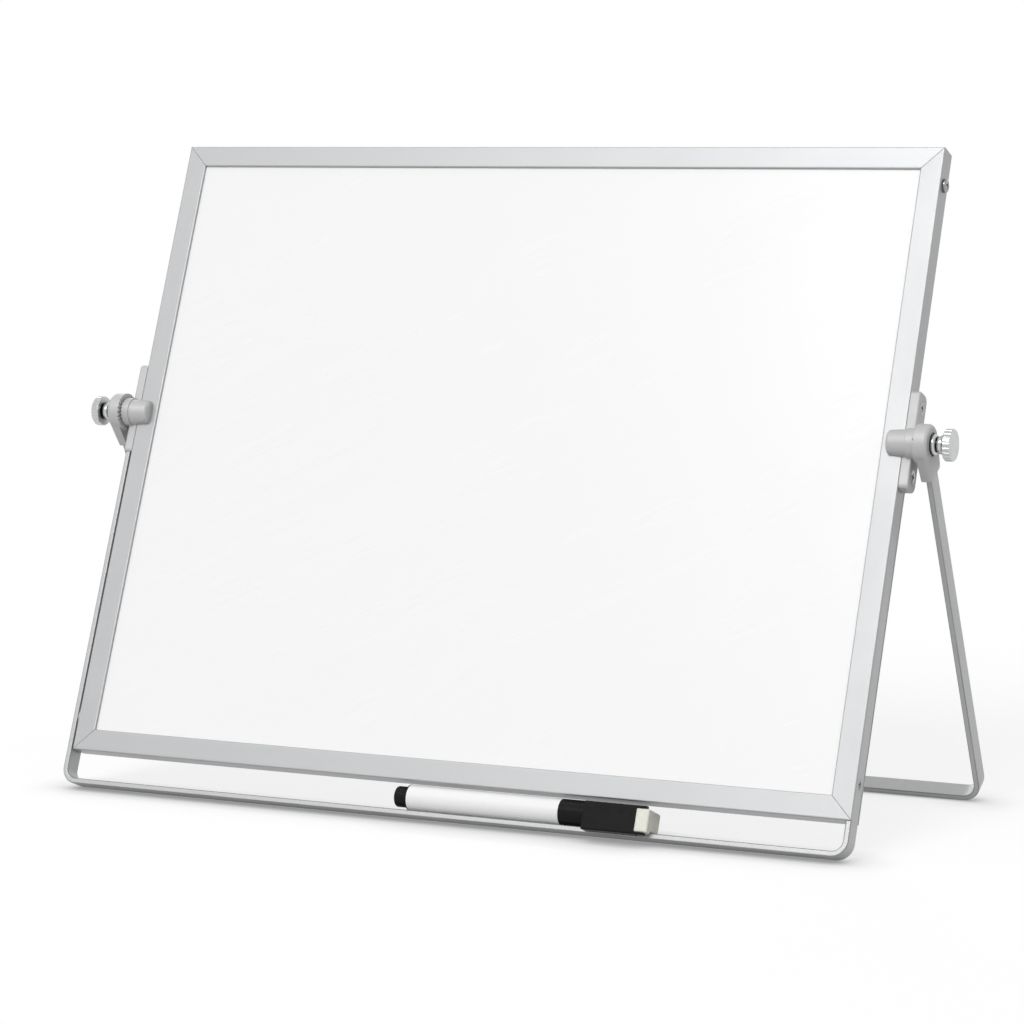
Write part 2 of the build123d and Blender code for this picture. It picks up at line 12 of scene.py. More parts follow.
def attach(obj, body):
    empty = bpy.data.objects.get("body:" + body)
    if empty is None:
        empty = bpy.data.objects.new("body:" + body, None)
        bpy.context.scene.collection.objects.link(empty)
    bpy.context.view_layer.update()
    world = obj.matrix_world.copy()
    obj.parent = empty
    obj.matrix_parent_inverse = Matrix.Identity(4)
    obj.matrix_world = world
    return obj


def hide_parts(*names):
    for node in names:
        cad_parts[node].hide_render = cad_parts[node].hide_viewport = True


bl_info = {
    "name": "Desk Easel Whiteboard",
    "version": (1, 0, 0),
    "blender": (4, 5, 0),
    "location": "View3D > Sidebar > Easel",
    "description": "Finishes a double-sided desk whiteboard on folding feet and sets its stage",
    "category": "Object",
}

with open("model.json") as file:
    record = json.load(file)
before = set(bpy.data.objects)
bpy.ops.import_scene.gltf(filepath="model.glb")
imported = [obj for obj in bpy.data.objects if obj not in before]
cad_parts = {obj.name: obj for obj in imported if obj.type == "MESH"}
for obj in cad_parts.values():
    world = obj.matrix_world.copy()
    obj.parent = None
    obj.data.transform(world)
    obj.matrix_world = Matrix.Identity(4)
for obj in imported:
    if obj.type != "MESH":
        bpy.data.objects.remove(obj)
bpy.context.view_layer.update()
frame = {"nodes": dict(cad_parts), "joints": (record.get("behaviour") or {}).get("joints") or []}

SWING = next(j for j in frame["joints"] if j["name"] == "rear_leg_swing")
LIFT = next(j for j in frame["joints"] if j["name"] == "marker_lift_out")
PIVOT = Vector(SWING["pos_m"])
BOARD_TILT = math.atan2(LIFT["axis"][2], -LIFT["axis"][1])
LEG_TILT = -math.radians(SWING["range_deg"][0]) - BOARD_TILT
UPRIGHT = (0.0, 0.0, 0.0)
QUARTER = math.pi / 2
MM = 0.001
SMALL_STEPS = 48000
END_RINGS = 14
CLOSING_RINGS = 25
HELD_SHARE = 0.18
FLOOR_SQUARES = 8
CHROME_RINGS = 2600.0
# Near-black colour of the painted shade in the plating's recesses.
PAINTED_RECESS_SHADE = (0.035, 0.035, 0.035, 1.0)
# Dark grey of the painted shade along the bars' rolled edges.
PAINTED_EDGE_SHADE = (0.13, 0.13, 0.13, 1.0)
WHITE = (1.0, 1.0, 1.0, 1.0)
FLOOR_BOUNCE = (0.40, 0.40, 0.40, 1.0)


# --- settings ---------------------------------------------------------------------------------------
def colour(label, text, value):
    """A colour setting, as linear red, green and blue."""
    return FloatVectorProperty(name=label, description=text, default=value, size=3, subtype="COLOR",
                               min=0.0, max=1.0)


def length(label, text, value):
    """A length setting in metres."""
    return FloatProperty(name=label, description=text, default=value, min=0.0, unit="LENGTH", precision=5)


def plain(label, text, value, low=0.0, high=100.0):
    """A setting that is a bare number."""
    return FloatProperty(name=label, description=text, default=value, min=low, max=high)


class EaselColours(bpy.types.PropertyGroup):
    """The colours of the easel's finishes."""

    frame_metal: colour("Frame metal", "Satin extrusion round the board", (0.43, 0.435, 0.44))
    enamel: colour("Writing face", "Dry-wipe lacquer on the two sheets", (0.97, 0.97, 0.97))
    bar_coat: colour("Foot bar", "Silver coating of the bent bars", (0.47, 0.475, 0.48))
    hinge: colour("Hinge moulding", "Grey moulding of brackets and hubs", (0.53, 0.535, 0.53))
    chrome: colour("Bright plating", "Knobs, washers and clamp screws", (0.54, 0.545, 0.55))
    screw: colour("Screw plating", "Small screws of frame, foot and brackets", (0.30, 0.30, 0.305))
    steel: colour("Bare steel", "Corner keys and nut plates", (0.50, 0.50, 0.51))
    brass: colour("Brass", "Threaded inserts", (0.70, 0.52, 0.24))
    nylon: colour("Nylon", "Spacers behind the foot", (0.82, 0.82, 0.78))
    fibreboard: colour("Fibreboard", "Core between the sheets", (0.42, 0.30, 0.18))
    marker_white: colour("Marker body", "White barrel", (0.93, 0.93, 0.93))
    marker_black: colour("Marker cap", "Black cap and end plug", (0.010, 0.010, 0.011))
    ink: colour("Ink felt", "Nib and reservoir", (0.012, 0.012, 0.014))
    felt: colour("Eraser felt", "Cream pressed felt", (0.88, 0.87, 0.78))
    nickel: colour("Magnet plating", "Nickel on the cap's magnet", (0.55, 0.54, 0.52))


class EaselEraser(bpy.types.PropertyGroup):
    """The felt block held in the marker's cap."""

    edge: length("Edge radius", "Rounding along the block's long edges", 0.8 * MM)
    end: length("End radius", "Rounding round the free end", 0.8 * MM)
    crown: length("Crown", "How far the long faces swell between their edges", 0.12 * MM)
    fluff: length("Fluff", "Depth of the felt's uneven surface", 0.07 * MM)
    tongue: length("Tongue", "How far the felt reaches into the cap", 2.5 * MM)
    around: IntProperty(name="Points around", description="Grid points round the block", default=240, min=24)
    along: IntProperty(name="Points along", description="Grid points from seat to end", default=96, min=12)


class EaselStage(bpy.types.PropertyGroup):
    """Camera, floor, lamps and surrounding light."""

    lens: FloatProperty(name="Lens", description="Focal length", default=116.34, min=1.0, unit="CAMERA")
    eye: FloatVectorProperty(name="Eye", description="Where the camera stands", size=3, subtype="XYZ",
                             unit="LENGTH", default=(0.59892, -1.25766, 0.28583))
    target: FloatVectorProperty(name="Target", description="The point in the middle of the view", size=3,
                                subtype="XYZ", unit="LENGTH", default=(0.00739, -0.01200, 0.12332))
    roll: FloatProperty(name="Roll", description="Turn about the line of sight", subtype="ANGLE",
                        default=math.radians(0.163))
    floor_size: length("Floor size", "Side of the square floor", 16.0)
    floor_white: plain("Floor white", "How far the floor is lifted to the white backdrop", 0.72, 0.0, 1.0)
    floor_colour: colour("Floor colour", "Pale floor", (0.30, 0.30, 0.30))
    # Painted contact shadow: how far the floor's glow is dimmed near the feet, and how much of it is left
    # there.
    contact: length("Contact shadow", "Reach of the dark line under the feet", 22 * MM)
    under_feet: plain("Under the feet", "Share of the floor's white that is left there", 0.34, 0.0, 1.0)
    key: plain("Key lamp", "Light of the large lamp in front", 0.40)
    key_from: FloatVectorProperty(name="Key from", description="Direction of the key lamp", size=3,
                                  subtype="DIRECTION", default=(-0.10, -0.715, 0.69))
    lamp_spread: FloatProperty(name="Lamp spread", description="Angle that each lamp spans", subtype="ANGLE",
                              default=math.radians(30))
    fill: plain("Fill lamp", "Light of the lamp behind", 0.10)
    fill_from: FloatVectorProperty(name="Fill from", description="Direction of the fill lamp", size=3,
                                   subtype="DIRECTION", default=(-0.55, 0.70, 0.45))
    sky_low: plain("Dim side", "Surrounding light on the side away from the lamps", 0.44)
    sky_high: plain("Bright side", "Surrounding light on the lamps' side", 0.68)
    sky_from: FloatVectorProperty(name="Bright side from", description="Where the surround is brightest",
                                  size=3, subtype="DIRECTION", default=(-0.20, -0.60, 0.70))


class EaselSettings(bpy.types.PropertyGroup):
    """All of the easel's settings."""

    colours: PointerProperty(type=EaselColours, name="Colours", description="The finishes' colours")
    eraser: PointerProperty(type=EaselEraser, name="Eraser", description="The felt block")
    stage: PointerProperty(type=EaselStage, name="Stage", description="Camera and light")


def settings():
    """The settings kept with the scene."""
    return bpy.context.scene.easel


# --- node work --------------------------------------------------------------------------------------
class Bench:
    """Adds shader nodes to one tree, joins them and lays them out in rows."""

    def __init__(self, tree):
        self.tree = tree
        self.placed = 0

    def add(self, kind, inputs=None, **choices):
        """A node with its choices and inputs set; an input is a value or another node's output."""
        node = self.tree.nodes.new("ShaderNode" + kind)
        node.location = (240 * (self.placed % 7), -320 * (self.placed // 7))
        self.placed += 1
        for key, value in choices.items():
            setattr(node, key, value)
        for key, value in (inputs or {}).items():
            self.feed(node.inputs[key], value)
        return node

    def feed(self, socket, value):
        """Joins an output to a socket, or sets the socket's own value."""
        if isinstance(value, bpy.types.NodeSocket):
            self.tree.links.new(value, socket)
        else:
            socket.default_value = value

    def number(self, operation, *values, clamp=False):
        """One arithmetic step."""
        node = self.add("Math", operation=operation, use_clamp=clamp)
        for socket, value in zip(node.inputs, values):
            self.feed(socket, value)
        return node.outputs[0]

    def vector(self, operation, *values, output="Vector"):
        """One vector step."""
        node = self.add("VectorMath", operation=operation)
        for socket, value in zip(node.inputs, values):
            self.feed(socket, value)
        return node.outputs[output]

    def scaled(self, vector, factor):
        """A vector times a number."""
        return self.add("VectorMath", {0: vector, "Scale": factor}, operation="SCALE").outputs[0]

    def noise(self, vector, scale, detail=2.0, roughness=0.5, distortion=0.0):
        """Soft noise between 0 and 1."""
        node = self.add("TexNoise", {"Vector": vector, "Scale": scale, "Detail": detail,
                                     "Roughness": roughness, "Distortion": distortion})
        return node.outputs["Fac"]

    def spread(self, value, low, high, to_low=0.0, to_high=1.0):
        """A value taken from one range to another, and kept inside it."""
        node = self.add("MapRange", {"Value": value, "From Min": low, "From Max": high,
                                     "To Min": to_low, "To Max": to_high}, clamp=True)
        return node.outputs["Result"]

    def mixed(self, factor, first, second):
        """Two colours mixed."""
        node = self.add("Mix", data_type="RGBA")
        for socket, value in zip((node.inputs[0], node.inputs[6], node.inputs[7]), (factor, first, second)):
            self.feed(socket, value)
        return node.outputs[2]

    def use(self, build, **inputs):
        """One of this file's node groups, with this material's own values."""
        node = self.add("Group", node_tree=build())
        for key, value in inputs.items():
            self.feed(node.inputs[key.replace("_", " ")], value)
        return node.outputs


def rgba(value):
    """A colour setting as a node socket takes it."""
    return (*value, 1.0)


def shared_group(name, inputs, outputs, wire):
    """A node group built once: inputs are (name, kind, value), and wire(bench, ins) gives the outputs."""
    if name in bpy.data.node_groups:
        return bpy.data.node_groups[name]
    group = bpy.data.node_groups.new(name, "ShaderNodeTree")
    for label, kind, value in inputs:
        socket = group.interface.new_socket(label, in_out="INPUT", socket_type="NodeSocket" + kind)
        if value is not None:
            socket.default_value = value
    for label, kind in outputs:
        group.interface.new_socket(label, in_out="OUTPUT", socket_type="NodeSocket" + kind)
    bench = Bench(group)
    ins = group.nodes.new("NodeGroupInput")
    ins.location = (-300, 0)
    outs = group.nodes.new("NodeGroupOutput")
    results = wire(bench, ins.outputs)
    outs.location = (240 * 7 + 100, 0)
    for (label, _), value in zip(outputs, results):
        bench.feed(outs.inputs[label], value)
    return group


def drawn_lines():
    """Fine lines along X, as a drawing die leaves them, and broader bands in them."""
    def wire(bench, ins):
        stretch = bench.add("CombineXYZ", {"X": ins["Along"], "Y": ins["Across"], "Z": ins["Across"]})
        drawn = bench.vector("MULTIPLY", ins["Vector"], stretch.outputs[0])
        lines = bench.noise(drawn, 1.0, detail=4.0, roughness=0.65)
        bands = bench.noise(bench.vector("MULTIPLY", drawn, (0.6, 0.09, 0.09)), 1.0, detail=1.0)
        return lines, bands
    return shared_group("Drawn lines", [("Vector", "Vector", None), ("Along", "Float", 6.0),
                                        ("Across", "Float", 1400.0)],
                        [("Lines", "Float"), ("Bands", "Float")], wire)


def turned_rings():
    """Fine rings about the X axis, as a lathe leaves them on an end face."""
    def wire(bench, ins):
        flat = bench.vector("MULTIPLY", ins["Vector"], (0.0, 1.0, 1.0))
        reach = bench.vector("LENGTH", flat, output="Value")
        ring = bench.add("CombineXYZ", {"X": bench.number("MULTIPLY", reach, ins["Rings"])})
        return (bench.noise(ring.outputs[0], 1.0, detail=3.0, roughness=0.6),)
    return shared_group("Turned rings", [("Vector", "Vector", None), ("Rings", "Float", 3000.0)],
                        [("Rings", "Float")], wire)


def worn_edges():
    """Where a piece's edges are rubbed or thinly coated, and the surface normal with those edges eased."""
    def wire(bench, ins):
        eased = bench.add("Bevel", {"Radius": ins["Radius"]}, samples=6).outputs[0]
        true = bench.add("NewGeometry").outputs["Normal"]
        turned = bench.vector("DOT_PRODUCT", eased, true, output="Value")
        edge = bench.spread(turned, 0.999, 0.86)
        patches = bench.spread(bench.noise(ins["Vector"], ins["Patches"], detail=3.0), 0.35, 0.65)
        return bench.number("MULTIPLY", edge, patches), eased
    return shared_group("Worn edges", [("Vector", "Vector", None), ("Radius", "Float", 0.0003),
                                       ("Patches", "Float", 60.0)],
                        [("Mask", "Float"), ("Normal", "Vector")], wire)


def rolled_edges():
    """The rounded edges of flat bar, where its surface turns from the narrow side to the broad face; the mask
    of the painted edge shade.
    """
    def wire(bench, ins):
        facing = bench.add("TexCoord").outputs["Normal"]
        agree = bench.vector("DOT_PRODUCT", facing, ins["Narrow side"], output="Value")
        narrow = bench.number("ABSOLUTE", agree)
        turning = bench.number("MULTIPLY", bench.spread(narrow, 0.12, 0.40), bench.spread(narrow, 0.99, 0.90))
        patches = bench.spread(bench.noise(ins["Vector"], 40.0), 0.3, 0.6, 0.6)
        return (bench.number("MULTIPLY", turning, patches),)
    return shared_group("Rolled edges", [("Vector", "Vector", None), ("Narrow side", "Vector", None)],
                        [("Mask", "Float")], wire)


def recess_shading():
    """How deep in a groove, joint or corner a point lies: 0 in the open, 1 where little light comes in. It
    masks painted shade in recesses.
    """
    def wire(bench, ins):
        near = bench.add("AmbientOcclusion", {"Distance": ins["Reach"]}, samples=8, only_local=False)
        return (bench.spread(near.outputs["AO"], ins["Open"], ins["Shut"]),)
    return shared_group("Recess shading", [("Reach", "Float", 0.001), ("Open", "Float", 0.85),
                                     ("Shut", "Float", 0.35)], [("Depth", "Float")], wire)


def handling():
    """Smudges from hands, settled dust on what faces up, and a few small specks."""
    def wire(bench, ins):
        smudge = bench.spread(bench.noise(ins["Vector"], ins["Smudges"], 3.0, 0.55, 1.2), 0.42, 0.72)
        facing = bench.add("SeparateXYZ", {0: bench.add("TexCoord").outputs["Normal"]}).outputs["Z"]
        settled = bench.spread(facing, 0.25, 0.95)
        cloudy = bench.spread(bench.noise(ins["Vector"], ins["Dust"], 4.0, 0.7), 0.40, 0.75)
        specks = bench.add("TexVoronoi", {"Vector": ins["Vector"], "Scale": ins["Specks"]})
        small = bench.spread(specks.outputs["Distance"], 0.05, 0.02)
        return smudge, bench.number("MULTIPLY", settled, cloudy), small
    return shared_group("Handling", [("Vector", "Vector", None), ("Smudges", "Float", 18.0),
                                     ("Dust", "Float", 220.0), ("Specks", "Float", 160.0)],
                        [("Smudge", "Float"), ("Dust", "Float"), ("Specks", "Float")], wire)


def moulded_grain():
    """The fine spark-eroded texture of a moulding, as a height and a shade."""
    def wire(bench, ins):
        cells = bench.add("TexVoronoi", {"Vector": ins["Vector"], "Scale": ins["Grain"], "Smoothness": 0.6},
                          feature="SMOOTH_F1")
        cloud = bench.noise(ins["Vector"], bench.number("MULTIPLY", ins["Grain"], 0.35), 3.0, 0.6)
        height = bench.number("ADD", cells.outputs["Distance"], bench.number("MULTIPLY", cloud, 0.5))
        return height, cloud
    return shared_group("Moulded grain", [("Vector", "Vector", None), ("Grain", "Float", 2200.0)],
                        [("Height", "Float"), ("Shade", "Float")], wire)


def metal_fleck():
    """Tiny bright flakes in a silver coating and the soft ripple of sprayed paint."""
    def wire(bench, ins):
        flakes = bench.add("TexVoronoi", {"Vector": ins["Vector"], "Scale": ins["Flakes"]})
        glint = bench.add("SeparateColor", {0: flakes.outputs["Color"]}).outputs[0]
        return glint, bench.noise(ins["Vector"], ins["Ripple"], 2.0, 0.5)
    return shared_group("Metal fleck", [("Vector", "Vector", None), ("Flakes", "Float", 4200.0),
                                        ("Ripple", "Float", 420.0)],
                        [("Fleck", "Float"), ("Ripple", "Float")], wire)


def pressed_fibres():
    """Tangled fibres pressed into felt or board, as a height and a shade."""
    def wire(bench, ins):
        crossed = []
        for lie, wander in (((1.0, 0.22, 0.7), 1.6), ((0.25, 1.0, 0.6), 2.1), ((0.6, 0.7, 0.2), 1.2)):
            laid = bench.vector("MULTIPLY", ins["Vector"], lie)
            strand = bench.noise(laid, ins["Fibres"], 3.0, 0.6, wander)
            ridge = bench.number("ABSOLUTE", bench.number("SUBTRACT", strand, 0.5))
            crossed.append(bench.spread(ridge, 0.0, 0.11, 1.0, 0.0))
        height = bench.number("MAXIMUM", crossed[0], bench.number("MAXIMUM", crossed[1], crossed[2]))
        clumps = bench.noise(ins["Vector"], bench.number("MULTIPLY", ins["Fibres"], 0.25), 3.0, 0.6)
        return height, clumps
    return shared_group("Pressed fibres", [("Vector", "Vector", None), ("Fibres", "Float", 2600.0)],
                        [("Height", "Float"), ("Shade", "Float")], wire)


def shaded():
    """A colour made lighter or darker where a value is over or under a half."""
    def wire(bench, ins):
        swing = bench.number("MULTIPLY", bench.number("SUBTRACT", ins["Value"], 0.5), ins["Amount"])
        return (bench.scaled(ins["Color"], bench.number("ADD", swing, 1.0)),)
    return shared_group("Shaded", [("Color", "Color", (0.5, 0.5, 0.5, 1.0)), ("Value", "Float", 0.5),
                                   ("Amount", "Float", 0.1)], [("Color", "Color")], wire)


def new_finish(name, turn=UPRIGHT, centre=(0.0, 0.0, 0.0)):
    """An empty material, its bench, and the piece's own axes as a vector, centred and turned upright."""
    material = bpy.data.materials.new(name)
    material.use_nodes = True
    material.node_tree.nodes.clear()
    bench = Bench(material.node_tree)
    coordinates = bench.add("TexCoord").outputs["Object"]
    place = bench.add("Mapping", {"Vector": coordinates, "Location": centre, "Rotation": turn},
                      vector_type="TEXTURE")
    return material, bench, place.outputs[0]


def bumped(bench, height, depth, normal=None, strength=1.0):
    """The surface normal with a height field cut into it, depth in metres."""
    inputs = {"Height": height, "Distance": depth, "Strength": strength}
    if normal is not None:
        inputs["Normal"] = normal
    return bench.add("Bump", inputs).outputs[0]


def finished(bench, base, roughness, normal, constants=None, **varying):
    """The surface itself: base, roughness and normal come from nodes, the rest is set on its own sockets."""
    surface = bench.add("BsdfPrincipled", {"Base Color": base, "Roughness": roughness, "Normal": normal})
    for key, value in {**(constants or {}), **varying}.items():
        bench.feed(surface.inputs[key], value)
    bench.add("OutputMaterial", {"Surface": surface.outputs[0]})


BOARD_TURN = (-BOARD_TILT, 0.0, 0.0)
LEG_TURN = (LEG_TILT, 0.0, 0.0)
STILE_TURN = (-BOARD_TILT, -QUARTER, 0.0)
INTO_BOARD = (0.0, math.cos(BOARD_TILT), -math.sin(BOARD_TILT))
INTO_LEG = (0.0, math.cos(LEG_TILT), math.sin(LEG_TILT))


# --- finishes ---------------------------------------------------------------------------------------
def satin_extrusion(name, turn):
    """Satin metal extrusion: drawing lines along the piece, eased edges, faint marks from hands."""
    material, bench, place = new_finish(name, turn, PIVOT)
    lines, bands = bench.use(drawn_lines, Vector=place, Along=5.0, Across=1500.0).values()
    wear, eased = bench.use(worn_edges, Vector=place, Radius=0.35 * MM, Patches=45.0).values()
    touched = bench.use(handling, Vector=place, Smudges=14.0)
    base = bench.use(shaded, Color=rgba(settings().colours.frame_metal), Value=lines, Amount=0.07)[0]
    base = bench.use(shaded, Color=base, Value=bands, Amount=0.05)[0]
    base = bench.mixed(bench.number("MULTIPLY", wear, 0.35), base, (0.86, 0.86, 0.86, 1.0))
    base = bench.mixed(bench.number("MULTIPLY", touched["Dust"], 0.05), base, (0.60, 0.58, 0.55, 1.0))
    satin = bench.spread(lines, 0.2, 0.8, 0.34, 0.44)
    rough = bench.number("ADD", satin, bench.number("MULTIPLY", touched["Smudge"], 0.05))
    normal = bumped(bench, lines, 0.006 * MM, eased)
    finished(bench, base, rough, normal, {"Metallic": 0.60, "IOR": 1.45})
    return material


def dry_wipe_enamel():
    """Glossy white lacquer on steel: a very soft orange peel and faint traces of wiping."""
    material, bench, place = new_finish("Dry-wipe enamel", BOARD_TURN, PIVOT)
    peel = bench.noise(place, 260.0, 2.0, 0.5)
    slanted = bench.add("Mapping", {"Vector": place, "Rotation": (0.0, 0.45, 0.0)})
    strokes = bench.vector("MULTIPLY", slanted.outputs[0], (5.0, 1.0, 60.0))
    wiped = bench.spread(bench.noise(strokes, 1.0, 4.0, 0.6, 0.4), 0.45, 0.80)
    smudge = bench.use(handling, Vector=place, Smudges=9.0)["Smudge"]
    base = bench.use(shaded, Color=rgba(settings().colours.enamel), Value=smudge, Amount=-0.008)[0]
    base = bench.mixed(bench.number("MULTIPLY", wiped, 0.008), base, (0.70, 0.71, 0.74, 1.0))
    gloss = bench.spread(wiped, 0.0, 1.0, 0.22, 0.32)
    rough = bench.number("ADD", gloss, bench.number("MULTIPLY", smudge, 0.06))
    finished(bench, base, rough, bumped(bench, peel, 0.004 * MM),
             {"IOR": 1.37, "Coat Weight": 0.10, "Coat Roughness": 0.08})
    return material


def silver_coating(name, turn, narrow):
    """Silver-grey coating on bent bar: fine flakes, soft ripple, painted shade darkening the rolled edges."""
    material, bench, place = new_finish(name, turn, PIVOT)
    fleck, ripple = bench.use(metal_fleck, Vector=place).values()
    edge_shade = bench.use(rolled_edges, Vector=place, Narrow_side=narrow)[0]
    touched = bench.use(handling, Vector=place, Smudges=20.0)
    base = bench.use(shaded, Color=rgba(settings().colours.bar_coat), Value=fleck, Amount=0.16)[0]
    # Painted shade: the base colour is darkened along the rounded edges, in patches.
    base = bench.mixed(bench.number("MULTIPLY", edge_shade, 0.60), base, PAINTED_EDGE_SHADE)
    base = bench.mixed(bench.number("MULTIPLY", touched["Dust"], 0.07), base, (0.62, 0.60, 0.56, 1.0))
    sprayed = bench.spread(ripple, 0.2, 0.8, 0.34, 0.42)
    rough = bench.number("ADD", sprayed, bench.number("MULTIPLY", touched["Smudge"], 0.07))
    finished(bench, base, rough, bumped(bench, ripple, 0.006 * MM),
             {"Metallic": 0.50, "IOR": 1.45, "Coat Weight": 0.12, "Coat Roughness": 0.25})
    return material


def grey_moulding(name, turn):
    """Grey hinge moulding: fine texture, slightly shiny where it is handled."""
    material, bench, place = new_finish(name, turn, PIVOT)
    grain, cloud = bench.use(moulded_grain, Vector=place, Grain=2400.0).values()
    wear, eased = bench.use(worn_edges, Vector=place, Radius=0.4 * MM, Patches=70.0).values()
    touched = bench.use(handling, Vector=place, Smudges=60.0)
    base = bench.use(shaded, Color=rgba(settings().colours.hinge), Value=cloud, Amount=0.10)[0]
    base = bench.mixed(bench.number("MULTIPLY", wear, 0.30), base, (0.70, 0.70, 0.70, 1.0))
    base = bench.mixed(bench.number("MULTIPLY", touched["Dust"], 0.08), base, (0.60, 0.58, 0.54, 1.0))
    rough = bench.spread(touched["Smudge"], 0.0, 1.0, 0.56, 0.46)
    normal = bumped(bench, grain, 0.010 * MM, eased)
    finished(bench, base, rough, normal, {"Metallic": 0.30, "IOR": 1.5})
    return material


def bright_plating(name, value, reach, rings=0.0):
    """Polished plating, with painted shade darkening its recesses; with rings its end faces keep the marks of
    turning.
    """
    material, bench, place = new_finish(name, BOARD_TURN, PIVOT)
    eased = bench.use(worn_edges, Vector=place, Radius=0.15 * MM, Patches=200.0)["Normal"]
    touched = bench.use(handling, Vector=place, Smudges=140.0, Dust=500.0)
    smudge = touched["Smudge"]
    base = bench.use(shaded, Color=rgba(value), Value=smudge, Amount=-0.05)[0]
    height, depth = bench.noise(place, 900.0, 2.0), 0.0015 * MM
    polish = bench.spread(smudge, 0.0, 1.0, 0.09, 0.16)
    rough = bench.number("ADD", polish, bench.number("MULTIPLY", touched["Dust"], 0.10))
    if rings:
        turned = bench.use(turned_rings, Vector=place, Rings=rings)[0]
        facing = bench.add("SeparateXYZ", {0: bench.add("TexCoord").outputs["Normal"]}).outputs["X"]
        end = bench.spread(bench.number("ABSOLUTE", facing), 0.93, 0.99)
        dulled = bench.number("MULTIPLY", end, bench.spread(turned, 0.2, 0.8, 0.12, 0.26))
        rough = bench.number("ADD", rough, dulled)
        height, depth = bench.number("MULTIPLY", turned, end), 0.004 * MM
        base = bench.use(shaded, Color=base, Value=turned, Amount=0.05)[0]
    # Painted shade: the base colour goes towards near black where ambient occlusion finds a recess.
    painted_shade = bench.use(recess_shading, Reach=reach)[0]
    base = bench.mixed(bench.number("MULTIPLY", painted_shade, 0.92), base, PAINTED_RECESS_SHADE)
    finished(bench, base, rough, bumped(bench, height, depth, eased), {"Metallic": 1.0})
    return material


def bare_metal(name, value, across, rough_low, rough_high, turn=BOARD_TURN):
    """Plain metal with rolling or turning lines, for the pieces inside."""
    material, bench, place = new_finish(name, turn, PIVOT)
    lines = bench.use(drawn_lines, Vector=place, Along=30.0, Across=across)["Lines"]
    smudge = bench.use(handling, Vector=place, Smudges=80.0)["Smudge"]
    base = bench.use(shaded, Color=rgba(value), Value=lines, Amount=0.14)[0]
    base = bench.use(shaded, Color=base, Value=smudge, Amount=-0.10)[0]
    finished(bench, base, bench.spread(lines, 0.2, 0.8, rough_low, rough_high),
             bumped(bench, lines, 0.005 * MM), {"Metallic": 1.0})
    return material


def nylon():
    """Natural nylon: slightly cloudy, with a fine moulded skin."""
    material, bench, place = new_finish("Natural nylon", BOARD_TURN, PIVOT)
    grain, cloud = bench.use(moulded_grain, Vector=place, Grain=1800.0).values()
    base = bench.use(shaded, Color=rgba(settings().colours.nylon), Value=cloud, Amount=0.06)[0]
    finished(bench, base, bench.spread(cloud, 0.3, 0.7, 0.38, 0.50), bumped(bench, grain, 0.006 * MM),
             {"IOR": 1.53, "Subsurface Weight": 0.05})
    return material


def fibreboard():
    """Pressed fibreboard core with coarse brown fibres."""
    material, bench, place = new_finish("Fibreboard", BOARD_TURN, PIVOT)
    height, clumps = bench.use(pressed_fibres, Vector=place, Fibres=900.0).values()
    base = bench.use(shaded, Color=rgba(settings().colours.fibreboard), Value=clumps, Amount=0.5)[0]
    base = bench.use(shaded, Color=base, Value=height, Amount=0.25)[0]
    finished(bench, base, bench.spread(clumps, 0.3, 0.7, 0.75, 0.9), bumped(bench, height, 0.05 * MM))
    return material


def glossy_plastic():
    """White glossy barrel: soft waves from moulding and a few fine scratches."""
    material, bench, place = new_finish("White barrel", BOARD_TURN, PIVOT)
    waves = bench.noise(place, 130.0, 2.0)
    lines = bench.use(drawn_lines, Vector=place, Along=40.0, Across=2600.0)["Lines"]
    touched = bench.use(handling, Vector=place, Smudges=60.0, Specks=260.0)
    smudge = touched["Smudge"]
    base = bench.use(shaded, Color=rgba(settings().colours.marker_white), Value=smudge, Amount=-0.02)[0]
    base = bench.mixed(bench.number("MULTIPLY", touched["Specks"], 0.25), base, (0.45, 0.45, 0.47, 1.0))
    gloss = bench.spread(smudge, 0.0, 1.0, 0.16, 0.26)
    rough = bench.number("ADD", gloss, bench.spread(lines, 0.55, 0.9, 0.0, 0.12))
    finished(bench, base, rough, bumped(bench, waves, 0.010 * MM), {"IOR": 1.49})
    return material


def satin_black():
    """Black moulded cap and plug: fine texture, worn a little grey along the edges."""
    material, bench, place = new_finish("Black cap", BOARD_TURN, PIVOT)
    grain, cloud = bench.use(moulded_grain, Vector=place, Grain=3000.0).values()
    wear, eased = bench.use(worn_edges, Vector=place, Radius=0.3 * MM, Patches=160.0).values()
    touched = bench.use(handling, Vector=place, Smudges=120.0, Dust=600.0)
    base = bench.use(shaded, Color=rgba(settings().colours.marker_black), Value=cloud, Amount=0.3)[0]
    base = bench.mixed(bench.number("MULTIPLY", wear, 0.10), base, (0.18, 0.18, 0.18, 1.0))
    base = bench.mixed(bench.number("MULTIPLY", touched["Dust"], 0.03), base, (0.45, 0.43, 0.40, 1.0))
    rough = bench.spread(touched["Smudge"], 0.0, 1.0, 0.28, 0.20)
    finished(bench, base, rough, bumped(bench, grain, 0.005 * MM, eased),
             {"IOR": 1.49, "Specular IOR Level": 0.10})
    return material


def felt(name, value, fibres, depth, sheen):
    """Pressed felt: tangled fibres, uneven shade and a soft sheen."""
    material, bench, place = new_finish(name, BOARD_TURN, PIVOT)
    height, clumps = bench.use(pressed_fibres, Vector=place, Fibres=fibres).values()
    base = bench.use(shaded, Color=rgba(value), Value=clumps, Amount=0.16)[0]
    base = bench.use(shaded, Color=base, Value=height, Amount=0.12)[0]
    finished(bench, base, bench.spread(clumps, 0.3, 0.7, 0.85, 0.98), bumped(bench, height, depth),
             {"Sheen Weight": sheen, "Sheen Roughness": 0.5, "IOR": 1.4})
    return material


def coat(material, *nodes):
    """Gives the named pieces of the frame this finish."""
    for name in nodes:
        piece = frame["nodes"][name]
        if not piece.material_slots:
            piece.data.materials.append(material)
        for spot in piece.material_slots:
            spot.material = material


